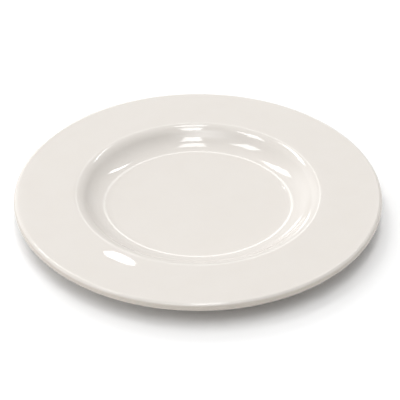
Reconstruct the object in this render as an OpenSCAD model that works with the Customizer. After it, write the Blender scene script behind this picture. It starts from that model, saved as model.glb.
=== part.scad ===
// Rimmed plate with a round well: one fired clay body that stands on a foot ring,
// and the glaze fused over it. The foot ring is wiped bare where it stands, so the
// glaze is two films: one over the face, edge and back, one in the recess of the foot.
// The origin is on the axis, on the table under the foot ring, with +Z up.

/* [Rim] */
// Diameter over the glazed edge
plate_d = 230; // [200:1:300]
// Thickness of the rim at its edge, over the glaze
edge_t = 5.4; // [4.2:0.1:7]
// Radius that rounds the clay's edge above and below
edge_round = 2.3; // [1.2:0.1:3]
// Slope of the rim, rising from the well to the edge, in degrees
rim_slope = 0; // [0:0.1:5]

/* [Well] */
// Diameter of the corner between floor and wall, before it is rounded
floor_d = 128.6; // [105:0.1:145]
// Distance that the wall leans out from its foot to its top
wall_run = 9.5; // [7:0.1:14]
// Depth of the well below the inner end of the rim
well_depth = 9.2; // [6:0.1:12]
// Radius of the hollow curve from the floor into the wall
floor_round = 20.5; // [10:0.5:26]
// Radius of the shoulder from the wall onto the rim
shoulder_round = 11.4; // [6:0.1:18]

/* [Thickness] */
// Thickness of the floor, over the glaze
floor_t = 4.4; // [3.6:0.1:7]
// Thickness of the wall and of the inner end of the rim, over the glaze
wall_t = 5.2; // [4:0.1:7]
// Radius of the hollow under the shoulder
under_round = 8; // [4:0.5:14]
// Radius of the bend from the back of the wall to the back of the floor
heel_round = 3; // [1.5:0.5:6]

/* [Foot ring] */
// Height of the recess inside the foot ring, up to its glaze
foot_h = 3.4; // [2.2:0.1:6]
// Width of the foot ring at its bottom, before its edges are rounded
foot_w = 5.2; // [4:0.1:8]
// Distance of the foot ring's root in from the back of the wall
foot_inset = 2.6; // [1.5:0.1:6]
// Lean of the foot ring's sides, in degrees
foot_draft = 12; // [4:1:25]
// Radius of the foot ring's lower edges
foot_round = 0.8; // [0.4:0.1:1.5]
// Radius of the hollow at the foot ring's root, on both sides
root_round = 1; // [0.5:0.1:2]

/* [Glaze] */
// Thickness of the glaze
glaze_t = 0.3; // [0.2:0.05:0.6]
// Clearance left between the clay and the glaze on it
bond_gap = 0.02; // [0.01:0.01:0.05]
// Height of the bare clay at the bottom of the foot ring
bare_h = 1.2; // [0.8:0.1:1.6]

/* [Hidden] */

// Facets of a turn in the preview, and the largest step of an arc in degrees
turn_facets = 180;
arc_step = 4;
// Largest share of a straight that the arcs at its two ends may take up
arc_share = 0.98;

clay_colour = [0.85, 0.82, 0.76];
glaze_colour = [0.925, 0.905, 0.88];

// Levels of the clay: back of the floor, floor, inner end of the rim, edge
base_z = foot_h + glaze_t;
floor_z = foot_h + floor_t - glaze_t;
rim_z = floor_z + well_depth;
floor_r = floor_d / 2;
well_r = floor_r + wall_run;
edge_r = plate_d / 2 - glaze_t;
edge_top = rim_z + (edge_r - well_r) * tan(rim_slope);
edge_bottom = edge_top - edge_t + 2 * glaze_t;

// The back of the wall runs parallel to its face
wall_angle = atan2(well_depth, wall_run);
wall_clay = wall_t - 2 * glaze_t;
function back_of_wall(z) = floor_r + wall_clay * sin(wall_angle)
    + (z - floor_z + wall_clay * cos(wall_angle)) / tan(wall_angle);
under_z = rim_z - wall_clay;
under_r = back_of_wall(under_z);
heel_r = back_of_wall(base_z);

// Foot ring: its sides lean in towards the bottom, and the glaze stops at bare_h
root_r = heel_r - foot_inset;
function foot_outside(z) = root_r - (base_z - z) * tan(foot_draft);
function foot_inside(z) = foot_outside(0) - foot_w - z * tan(foot_draft);

// Corners of the clay's section, [radius, height, rounding], over the face, round the
// edge, along the back and in to the axis; each list ends where the glaze ends or starts
face_corners = [
    [0, floor_z, 0],
    [floor_r, floor_z, floor_round],
    [well_r, rim_z, shoulder_round],
    [edge_r, edge_top, edge_round],
    [edge_r, edge_bottom, edge_round],
    [under_r, under_z, under_round],
    [heel_r, base_z, heel_round],
    [root_r, base_z, root_round],
    [foot_outside(bare_h), bare_h, 0]
];
bare_corners = [
    [foot_outside(bare_h), bare_h, 0],
    [foot_outside(0), 0, foot_round],
    [foot_inside(0), 0, foot_round],
    [foot_inside(bare_h), bare_h, 0]
];
base_corners = [
    [foot_inside(bare_h), bare_h, 0],
    [foot_inside(base_z), base_z, root_round],
    [0, base_z, 0]
];

function place(corner) = [corner[0], corner[1]];
function heading(corners, i) = let (
    leg = place(corners[i + 1]) - place(corners[i])
) leg / norm(leg);
// The section is followed clockwise, so outside lies to the left of each heading
function outward(way) = [-way[1], way[0]];
function turned(v, angle) = [
    v[0] * cos(angle) - v[1] * sin(angle),
    v[0] * sin(angle) + v[1] * cos(angle)
];
function is_end(corners, i) = i == 0 || i == len(corners) - 1;
function turn_at(corners, i) = let (
    a = heading(corners, i - 1),
    b = heading(corners, i)
) atan2(a[0] * b[1] - a[1] * b[0], a * b);

// Length of the straights that the rounding of a corner takes up on either side
function reach(corners, i) = is_end(corners, i) ? 0
    : corners[i][2] * tan(abs(turn_at(corners, i)) / 2);
// Share of that length which the straight after a corner has room for
function room(corners, i) = let (
    wanted = reach(corners, i) + reach(corners, i + 1),
    straight = norm(place(corners[i + 1]) - place(corners[i]))
) wanted > arc_share * straight ? arc_share * straight / wanted : 1;

// The arc at a corner, as [point, outward normal] pairs
function arc_at(corners, i) = let (
    turn = turn_at(corners, i),
    share = min(room(corners, i - 1), room(corners, i)),
    r = corners[i][2] * share,
    way = heading(corners, i - 1),
    start = place(corners[i]) - way * reach(corners, i) * share,
    normal = outward(way),
    bulge = turn < 0 ? r : -r,
    steps = ceil(abs(turn) / arc_step)
) [
    for (k = [0 : steps]) let (
        n = turned(normal, turn * k / steps)
    ) [start + bulge * (n - normal), n]
];
function section(corners) = [
    for (i = [0 : len(corners) - 1]) each
        i == 0 ? [[place(corners[i]), outward(heading(corners, i))]]
        : is_end(corners, i) ? [[place(corners[i]), outward(heading(corners, i - 1))]]
        : arc_at(corners, i)
];

face_section = section(face_corners);
bare_section = section(bare_corners);
base_section = section(base_corners);

function points(rows) = [for (row = rows) row[0]];
function backwards(list) = [for (i = [len(list) - 1 : -1 : 0]) list[i]];
function inner(list) = [for (i = [1 : len(list) - 2]) list[i]];

module turn_up(outline) {
    rotate_extrude($fn = turn_facets) polygon(outline);
}

// Film of glaze that lies on a stretch of the clay's section
module film(rows) {
    glaze_face = [for (row = rows) row[0] + glaze_t * row[1]];
    clay_side = [for (row = rows) row[0] + bond_gap * row[1]];
    turn_up(concat(glaze_face, backwards(clay_side)));
}

// Fired clay, with the foot ring that the plate stands on
module body() {
    color(clay_colour)
        turn_up(concat(points(face_section), inner(points(bare_section)), points(base_section)));
}

// Glaze over the face, round the edge and along the back, down to the bare foot
module face_glaze() {
    color(glaze_colour) film(face_section);
}

// Glaze in the recess inside the foot ring
module base_glaze() {
    color(glaze_colour) film(base_section);
}

body();
face_glaze();
base_glaze();
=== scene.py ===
import math

import bmesh
import bpy
from mathutils import Matrix, Vector


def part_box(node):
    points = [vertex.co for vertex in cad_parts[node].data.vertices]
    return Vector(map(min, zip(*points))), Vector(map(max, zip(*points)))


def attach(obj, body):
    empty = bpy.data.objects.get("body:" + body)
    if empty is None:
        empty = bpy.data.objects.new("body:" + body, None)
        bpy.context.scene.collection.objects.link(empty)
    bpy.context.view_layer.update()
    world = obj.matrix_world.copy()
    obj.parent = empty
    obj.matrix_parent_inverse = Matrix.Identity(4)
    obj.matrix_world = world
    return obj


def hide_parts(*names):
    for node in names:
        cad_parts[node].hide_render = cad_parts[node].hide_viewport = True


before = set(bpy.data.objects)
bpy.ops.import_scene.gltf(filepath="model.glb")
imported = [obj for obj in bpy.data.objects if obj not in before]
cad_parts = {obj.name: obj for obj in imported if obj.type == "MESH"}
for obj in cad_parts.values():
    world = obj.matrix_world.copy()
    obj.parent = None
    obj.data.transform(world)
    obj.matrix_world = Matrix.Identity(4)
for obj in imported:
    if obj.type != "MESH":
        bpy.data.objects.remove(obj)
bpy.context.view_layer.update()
mm = 0.001
print("frame loaded:", ", ".join(sorted(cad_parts)))


def linear(hexColour):
    # sRGB hex to the linear values that shaders and lamps take
    parts = [int(hexColour[i:i + 2], 16) / 255 for i in (1, 3, 5)]
    return [p / 12.92 if p <= 0.04045 else ((p + 0.055) / 1.055) ** 2.4 for p in parts] + [1]


def addNode(tree, kind, settings=None, links=None):
    # one node with its settings (attributes or sockets) and the links into it
    node = tree.nodes.new("ShaderNode" + kind)
    for name, value in (settings or {}).items():
        if isinstance(name, str) and hasattr(node, name):
            setattr(node, name, value)
        else:
            node.inputs[name].default_value = value
    for name, socket in (links or {}).items():
        tree.links.new(socket, node.inputs[name])
    return node


def newMaterial(name):
    material = bpy.data.materials.new(name)
    material.use_nodes = True
    material.node_tree.nodes.clear()
    return material, material.node_tree


# The plate's section, in millimetres, the same values as the solids have; only the hollow
# of the well takes two arcs here, as the glaze pooled in it and starts further in
plate = {
    "edgeThickness": 5.4,      # over the glaze
    "edgeRound": 2.3,
    "rimSlope": 0.0,           # degrees, rising outwards
    "floorDiameter": 128.6,    # corner of floor and wall
    "wallRun": 9.5,
    "wellDepth": 9.2,
    "poolCorner": 59.336,      # where the pooled glaze's first slope leaves the floor
    "poolRise": 3.147,         # height at which it meets the wall
    "poolRound": 27.3,
    "floorRound": 18.2,
    "shoulderRound": 11.4,
    "floorThickness": 4.4,
    "wallThickness": 5.2,
    "underRound": 8.0,
    "heelRound": 3.0,
    "footHeight": 3.4,
    "footWidth": 5.2,
    "footInset": 2.6,
    "footDraft": 12.0,         # degrees
    "footRound": 0.8,
    "rootRound": 1.0,
    "glazeThickness": 0.3,
    "bareHeight": 1.2,         # clay left bare at the foot
    "diameter": 2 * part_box("face_glaze")[1].x / mm,
}


def sectionCorners(p):
    # (radius, height, rounding) of the clay's corners: face, bare foot, recess
    glaze = p["glazeThickness"]
    baseZ = p["footHeight"] + glaze
    floorZ = p["footHeight"] + p["floorThickness"] - glaze
    rimZ = floorZ + p["wellDepth"]
    floorR = p["floorDiameter"] / 2
    wellR = floorR + p["wallRun"]
    edgeR = p["diameter"] / 2 - glaze
    edgeTop = rimZ + (edgeR - wellR) * math.tan(math.radians(p["rimSlope"]))
    edgeBottom = edgeTop - p["edgeThickness"] + 2 * glaze
    lean = math.atan2(p["wellDepth"], p["wallRun"])
    wallClay = p["wallThickness"] - 2 * glaze

    def backOfWall(z):
        rise = z - floorZ + wallClay * math.cos(lean)
        return floorR + wallClay * math.sin(lean) + rise / math.tan(lean)

    draft = math.tan(math.radians(p["footDraft"]))
    rootR = backOfWall(baseZ) - p["footInset"]

    def footOutside(z):
        return rootR - (baseZ - z) * draft

    def footInside(z):
        return footOutside(0) - p["footWidth"] - z * draft

    bareZ = p["bareHeight"]
    face = [
        (0, floorZ, 0),
        (p["poolCorner"], floorZ, p["poolRound"]),
        (floorR + p["poolRise"] / math.tan(lean), floorZ + p["poolRise"], p["floorRound"]),
        (wellR, rimZ, p["shoulderRound"]),
        (edgeR, edgeTop, p["edgeRound"]),
        (edgeR, edgeBottom, p["edgeRound"]),
        (backOfWall(rimZ - wallClay), rimZ - wallClay, p["underRound"]),
        (backOfWall(baseZ), baseZ, p["heelRound"]),
        (rootR, baseZ, p["rootRound"]),
        (footOutside(bareZ), bareZ, 0),
    ]
    bare = [
        (footOutside(bareZ), bareZ, 0),
        (footOutside(0), 0, p["footRound"]),
        (footInside(0), 0, p["footRound"]),
        (footInside(bareZ), bareZ, 0),
    ]
    base = [
        (footInside(bareZ), bareZ, 0),
        (footInside(baseZ), baseZ, p["rootRound"]),
        (0, baseZ, 0),
    ]
    return face, bare, base


# How finely the pieces are meshed
mesh = {
    "turnSteps": 256,     # round the axis
    "arcStep": 3.0,       # degrees of a rounding per edge
    "fewestSteps": 6,
    "holdRun": 0.35,      # mm from a rounding to the loop that keeps the flat beside it flat
    "mergeRun": 0.002,    # mm
    "sharpFrom": 38.0,    # degrees between faces
}


def drawSection(bm, corners):
    # the wire of a section: straight runs, and each corner's rounding spun about its centre
    points = [Vector(c[:2]) * mm for c in corners]
    hold = mesh["holdRun"] * mm

    def runTo(vert, point):
        grown = bmesh.ops.extrude_vert_indiv(bm, verts=[vert])["verts"][0]
        grown.co = (point.x, 0, point.y)
        return grown

    def runHeld(vert, end, heldEnd):
        start = Vector((vert.co.x, vert.co.z))
        way = end - start
        if way.length > 4 * hold:
            if vert.link_edges:
                vert = runTo(vert, start + way.normalized() * hold)
            if heldEnd:
                vert = runTo(vert, end - way.normalized() * hold)
        return runTo(vert, end)

    vert = bm.verts.new((points[0].x, 0, points[0].y))
    roundings = [c[2] for c in corners[1:]]
    for before, corner, after, rounding in zip(points, points[1:], points[2:], roundings):
        way, onward = (corner - before).normalized(), (after - corner).normalized()
        turn = -way.angle_signed(onward)
        side = Vector((-way.y, way.x)) * math.copysign(rounding * mm, turn)
        start = corner - way * rounding * mm * math.tan(abs(turn) / 2)
        centre = start + side
        vert = runHeld(vert, start, True)
        steps = max(mesh["fewestSteps"], round(math.degrees(abs(turn)) / mesh["arcStep"]))
        spun = bmesh.ops.spin(
            bm, geom=[vert], cent=(centre.x, 0, centre.y), axis=(0, -1, 0), dvec=(0, 0, 0),
            angle=turn, steps=steps, use_duplicate=False,
        )
        vert = [g for g in spun["geom_last"] if isinstance(g, bmesh.types.BMVert)][0]
    runHeld(vert, points[-1], False)


def turnUp(bm):
    # the whole turn about the axis, closed at the seam and at the pole
    bmesh.ops.spin(
        bm, geom=bm.verts[:] + bm.edges[:], cent=(0, 0, 0), axis=(0, 0, 1), dvec=(0, 0, 0),
        angle=2 * math.pi, steps=mesh["turnSteps"], use_merge=True, use_duplicate=False,
    )
    bmesh.ops.remove_doubles(bm, verts=bm.verts[:], dist=mesh["mergeRun"] * mm)
    bmesh.ops.recalc_face_normals(bm, faces=bm.faces[:])


def finishPiece(bm, name, node, material):
    data = bpy.data.meshes.new(name)
    for face in bm.faces:
        face.smooth = True
    bm.to_mesh(data)
    bm.free()
    data.set_sharp_from_angle(angle=math.radians(mesh["sharpFrom"]))
    data.materials.append(material)
    piece = bpy.data.objects.new(name, data)
    bpy.context.scene.collection.objects.link(piece)
    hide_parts(node)
    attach(piece, "root")
    print(name, "made:", len(data.polygons), "faces")
    return piece


# Glossy feldspar glaze, dipped and fired on white stoneware: an even warm ivory with a
# wet shine, hardly wavy, a touch deeper in soft clouds scattered over it
ivoryGlaze = {
    "colour": "#E0DBD5",
    "pooled": "#DDD7D0",
    "ior": 1.52,
    "roughness": 0.014,
    "waveLength": 38.0,    # mm between the slow swells of the fired surface
    "waveHeight": 0.012,   # mm
    "mottle": 14.0,        # mm across the cloudy tone
    "paintedEdgeShade": "#D0C8BE",     # painted shade: a darker tone at the outer edge, where the bead turns away from the light
    "paintedEdgeShadeBand": (114.0, 115.0),   # mm from the axis
}


def makeGlaze(g):
    material, tree = newMaterial("ivoryFeldsparGlaze")
    place = addNode(tree, "TexCoord").outputs["Object"]
    cloud = addNode(
        tree, "TexNoise", {"Scale": 1 / (g["mottle"] * mm), "Detail": 3.0}, {"Vector": place},
    )
    tone = addNode(
        tree, "MapRange",
        {"From Min": 0.3, "From Max": 0.7, "To Min": 0.0, "To Max": 0.35},
        {"Value": cloud.outputs["Fac"]},
    )
    colour = addNode(
        tree, "Mix", {"data_type": "RGBA", 6: linear(g["colour"]), 7: linear(g["pooled"])},
        {0: tone.outputs["Result"]},
    )
    level = addNode(tree, "VectorMath", {"operation": "MULTIPLY", 1: (1, 1, 0)}, {0: place})
    radius = addNode(tree, "VectorMath", {"operation": "LENGTH"}, {0: level.outputs["Vector"]})
    # painted shade: the outermost millimetre of the rim is mixed towards a darker tone
    paintedEdgeShade = addNode(
        tree, "MapRange",
        {
            "interpolation_type": "SMOOTHSTEP",
            "From Min": g["paintedEdgeShadeBand"][0] * mm, "From Max": g["paintedEdgeShadeBand"][1] * mm,
        },
        {"Value": radius.outputs["Value"]},
    )
    colour = addNode(
        tree, "Mix", {"data_type": "RGBA", 7: linear(g["paintedEdgeShade"])},
        {0: paintedEdgeShade.outputs["Result"], 6: colour.outputs[2]},
    )
    swell = addNode(
        tree, "TexNoise", {"Scale": 1 / (g["waveLength"] * mm), "Detail": 1.0}, {"Vector": place},
    )
    wave = addNode(
        tree, "Bump", {"Strength": 1.0, "Distance": g["waveHeight"] * mm},
        {"Height": swell.outputs["Fac"]},
    )
    shine = addNode(
        tree, "MapRange",
        {"To Min": g["roughness"] * 0.8, "To Max": g["roughness"] * 1.2},
        {"Value": cloud.outputs["Fac"]},
    )
    shader = addNode(
        tree, "BsdfPrincipled", {"IOR": g["ior"]},
        {
            "Base Color": colour.outputs[2], "Roughness": shine.outputs["Result"],
            "Normal": wave.outputs["Normal"],
        },
    )
    addNode(tree, "OutputMaterial", None, {"Surface": shader.outputs["BSDF"]})
    return material


# Unglazed stoneware, wiped clean before firing: matt and slightly gritty, a warm buff white
bareClay = {
    "colour": "#D9CFBF",
    "grog": "#B9AB96",
    "roughness": 0.85,
    "grit": 0.9,        # mm, coarser than the real grit so that it shows
    "gritHeight": 0.03,   # mm
    "ior": 1.5,
}


def makeClay(c):
    material, tree = newMaterial("bareStoneware")
    place = addNode(tree, "TexCoord").outputs["Object"]
    grit = addNode(tree, "TexNoise", {"Scale": 1 / (c["grit"] * mm), "Detail": 4.0}, {"Vector": place})
    fleck = addNode(
        tree, "MapRange",
        {"From Min": 0.52, "From Max": 0.72, "To Max": 0.6}, {"Value": grit.outputs["Fac"]},
    )
    colour = addNode(
        tree, "Mix", {"data_type": "RGBA", 6: linear(c["colour"]), 7: linear(c["grog"])},
        {0: fleck.outputs["Result"]},
    )
    rough = addNode(
        tree, "Bump", {"Strength": 1.0, "Distance": c["gritHeight"] * mm},
        {"Height": grit.outputs["Fac"]},
    )
    shader = addNode(
        tree, "BsdfPrincipled", {"Roughness": c["roughness"], "IOR": c["ior"]},
        {"Base Color": colour.outputs[2], "Normal": rough.outputs["Normal"]},
    )
    addNode(tree, "OutputMaterial", None, {"Surface": shader.outputs["BSDF"]})
    return material


glazeMaterial = makeGlaze(ivoryGlaze)
clayMaterial = makeClay(bareClay)
faceCorners, bareCorners, baseCorners = sectionCorners(plate)


def makeBody():
    bm = bmesh.new()
    drawSection(bm, faceCorners[:-1] + bareCorners[:-1] + baseCorners)
    turnUp(bm)
    return finishPiece(bm, "clayBody", "body", clayMaterial)


def makeFilm(name, corners, node, facesUp):
    # the clay's skin there, thickened outwards by the glaze
    bm = bmesh.new()
    drawSection(bm, corners)
    turnUp(bm)
    middle = min(bm.faces, key=lambda face: face.calc_center_median().to_2d().length)
    if (middle.normal.z > 0) != facesUp:
        bmesh.ops.reverse_faces(bm, faces=bm.faces[:])
    bmesh.ops.solidify(bm, geom=bm.faces[:], thickness=-plate["glazeThickness"] * mm)
    bmesh.ops.recalc_face_normals(bm, faces=bm.faces[:])
    return finishPiece(bm, name, node, glazeMaterial)


makeBody()
makeFilm("faceGlaze", faceCorners, "face_glaze", True)
makeFilm("baseGlaze", baseCorners, "base_glaze", False)

# White sweep under the plate
floorSheet = {"side": 6.0, "colour": "#FCFCFC", "roughness": 0.9}


def makeFloor(f):
    bm = bmesh.new()
    bmesh.ops.create_grid(bm, x_segments=1, y_segments=1, size=f["side"] / 2)
    data = bpy.data.meshes.new("whiteSweep")
    bm.to_mesh(data)
    bm.free()
    material, tree = newMaterial("whiteSweepPaper")
    shader = addNode(
        tree, "BsdfPrincipled",
        {"Base Color": linear(f["colour"]), "Roughness": f["roughness"], "Specular IOR Level": 0.0},
    )
    addNode(tree, "OutputMaterial", None, {"Surface": shader.outputs["BSDF"]})
    data.materials.append(material)
    floor = bpy.data.objects.new("whiteSweep", data)
    bpy.context.scene.collection.objects.link(floor)


makeFloor(floorSheet)

# Soft boxes under the ceiling, facing down: how far each hangs to the right of the plate and
# beyond it, its width and depth between the middles of its soft edges, all in metres, its turn
# in degrees and its brightness
softBoxes = {
    "overhead": {"at": (0.20, -0.32), "size": (0.64, 1.36), "turn": 0, "level": 6.4},
    "overheadBack": {"at": (0.10, 1.55), "size": (0.45, 1.05), "turn": 0, "level": 4.8},
    "left": {"at": (-1.65, 0.53), "size": (1.30, 0.85), "turn": 32, "level": 5.5},
    "leftBack": {"at": (-1.70, 3.35), "size": (1.60, 0.80), "turn": -10, "level": 6.0},
    "rightBack": {"at": (1.65, 3.31), "size": (1.30, 0.32), "turn": 9, "level": 7.0},
    "spot": {
        "at": (-0.34, 5.158), "size": (0.165, 0.044), "turn": -33, "level": 9.0,
        "shape": "ELLIPSE",
    },
}
ceilingHeight = 4.0
wattsPerLevel = 4.0   # watts for each square metre of a box at level 1
softEdge = 0.18       # share of a box's side over which its diffuser fades out


def fadeEdges(lamp):
    lamp.use_nodes = True
    tree = lamp.node_tree
    tree.nodes.clear()
    place = addNode(tree, "NewGeometry").outputs["Parametric"]
    offMiddle = addNode(tree, "VectorMath", {"operation": "SUBTRACT", 1: (0.5, 0.5, 0)}, {0: place})
    apart = addNode(tree, "VectorMath", {"operation": "ABSOLUTE"}, {0: offMiddle.outputs["Vector"]})
    sides = addNode(tree, "SeparateXYZ", None, {"Vector": apart.outputs["Vector"]})
    fades = [
        addNode(
            tree, "MapRange",
            {"interpolation_type": "SMOOTHSTEP", "From Min": 0.5, "From Max": 0.5 - softEdge},
            {"Value": sides.outputs[axis]},
        ).outputs["Result"]
        for axis in "XY"
    ]
    glow = addNode(tree, "Math", {"operation": "MULTIPLY"}, {0: fades[0], 1: fades[1]})
    shine = addNode(tree, "Emission", None, {"Strength": glow.outputs["Value"]})
    addNode(tree, "OutputLight", None, {"Surface": shine.outputs["Emission"]})


def hangSoftBox(name, b):
    lamp = bpy.data.lights.new(name, "AREA")
    lamp.shape = b.get("shape", "RECTANGLE")
    lamp.size, lamp.size_y = b["size"]
    if lamp.shape == "RECTANGLE":
        lamp.size, lamp.size_y = (side / (1 - softEdge) for side in b["size"])
        fadeEdges(lamp)
    lamp.energy = b["level"] * wattsPerLevel * lamp.size * lamp.size_y
    box = bpy.data.objects.new(name, lamp)
    box.location = (*b["at"], ceilingHeight)
    box.rotation_euler.z = math.radians(b["turn"])
    bpy.context.scene.collection.objects.link(box)


for boxName, box in softBoxes.items():
    hangSoftBox(boxName, box)
print("soft boxes hung:", len(softBoxes))

# Light of the room: it grows upwards and towards the white wall behind the plate, and soft
# lights swell in it, at an azimuth clockwise from behind and an angle from the zenith
room = {
    "level": -0.05,
    "upwards": 0.345,
    "backwards": 0.45,
    "swells": [
        {"azimuth": 187, "zenith": 26, "tightness": 26, "level": 4.5},     # high in front
        {"azimuth": 318, "zenith": 70, "tightness": 12, "level": 1.4},     # low, rear left
        {"azimuth": 254, "zenith": 64, "tightness": 11, "level": 1.9},     # left
        {"azimuth": 92, "zenith": 68, "tightness": 11, "level": 0.9},      # right
        {"azimuth": 345, "zenith": 86, "tightness": 320, "level": 5.0},    # small, on the horizon
    ],
    # pale ring on the rear wall, brightest at its top, bottom and left
    "ring": {
        "zenith": 55, "radius": 8.3, "width": 2.6, "level": 3.5,
        "leastShare": 0.25, "leftShare": 0.5, "rightShare": 0.12,
    },
}


def lightRoom(r):
    world = bpy.data.worlds.new("room")
    bpy.context.scene.world = world
    world.use_nodes = True
    tree = world.node_tree
    tree.nodes.clear()
    way = addNode(tree, "TexCoord").outputs["Generated"]

    def along(vector):
        dot = addNode(tree, "VectorMath", {"operation": "DOT_PRODUCT", 1: vector}, {0: way})
        return dot.outputs["Value"]

    def math2(operation, first, second):
        settings, links = {"operation": operation}, {0: first}
        if isinstance(second, bpy.types.NodeSocket):
            links[1] = second
        else:
            settings[1] = second
        return addNode(tree, "Math", settings, links).outputs["Value"]

    slope = math2("ADD", along((0, r["backwards"], r["upwards"])), r["level"])
    total = math2("MAXIMUM", slope, 0.0)
    for swell in r["swells"]:
        turn, lean = math.radians(swell["azimuth"]), math.radians(swell["zenith"])
        middle = (math.sin(lean) * math.sin(turn), math.sin(lean) * math.cos(turn), math.cos(lean))
        fade = math2("POWER", math2("MAXIMUM", along(middle), 0.0), swell["tightness"])
        total = math2("ADD", math2("MULTIPLY", fade, swell["level"]), total)
    ring = r["ring"]
    lean = math.radians(ring["zenith"])
    apart = math2("ARCCOSINE", along((0, math.sin(lean), math.cos(lean))), 0.0)
    reach = math.radians(ring["radius"])
    # 1 and -1 at the ring's lowest and highest point
    rise = along((0, math.cos(lean) / reach, -math.sin(lean) / reach))
    share = math2("MULTIPLY", math2("MULTIPLY", rise, rise), 1 - ring["leastShare"])
    leftward = along((-ring["leftShare"] / reach, 0, 0))
    sideways = math2("MAXIMUM", leftward, along((ring["rightShare"] / reach, 0, 0)))
    share = math2("ADD", share, math2("ADD", sideways, ring["leastShare"]))
    off = math2("DIVIDE", math2("SUBTRACT", apart, reach), math.radians(ring["width"]))
    fall = math2("MULTIPLY", math2("MULTIPLY", off, off), -1.0)
    hill = math2("MAXIMUM", math2("ADD", fall, 1.0), 0.0)
    glow = math2("MULTIPLY", math2("MULTIPLY", hill, share), ring["level"])
    total = math2("ADD", glow, total)
    lit = addNode(tree, "Background", {"Color": linear("#FFFFFF")}, {"Strength": total})
    addNode(tree, "OutputWorld", None, {"Surface": lit.outputs["Background"]})


lightRoom(room)
print("room lit:", len(room["swells"]), "swells and a ring")

# Camera in front of the plate, looking down on it, on a long lens
cameraPlace = {
    "distance": 1.1,
    "elevation": 35.2,
    "edgeHeight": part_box("face_glaze")[1].z - plate["edgeThickness"] / 2 * mm,
    "focalPixels": 1756.0,
    "imagePixels": 400,
    "shown": (-1.90, -6.60),   # pixels from the image's centre to the middle of the edge
}


def placeCamera(c):
    data = bpy.data.cameras.new("camera")
    data.sensor_width = 36
    data.lens = c["focalPixels"] / c["imagePixels"] * data.sensor_width
    camera = bpy.data.objects.new("camera", data)
    tilt = math.radians(c["elevation"])
    middle = Vector((0, 0, c["edgeHeight"]))
    camera.location = middle + c["distance"] * Vector((0, -math.cos(tilt), math.sin(tilt)))
    perPixel = c["distance"] / c["focalPixels"]
    up = Vector((0, math.sin(tilt), math.cos(tilt)))
    aim = middle - Vector((1, 0, 0)) * c["shown"][0] * perPixel + up * c["shown"][1] * perPixel
    camera.rotation_mode = "QUATERNION"
    camera.rotation_quaternion = (aim - camera.location).to_track_quat("-Z", "Y")
    bpy.context.scene.collection.objects.link(camera)
    bpy.context.scene.camera = camera


placeCamera(cameraPlace)
print("camera placed")
bpy.context.scene.view_settings.view_transform = "Standard"
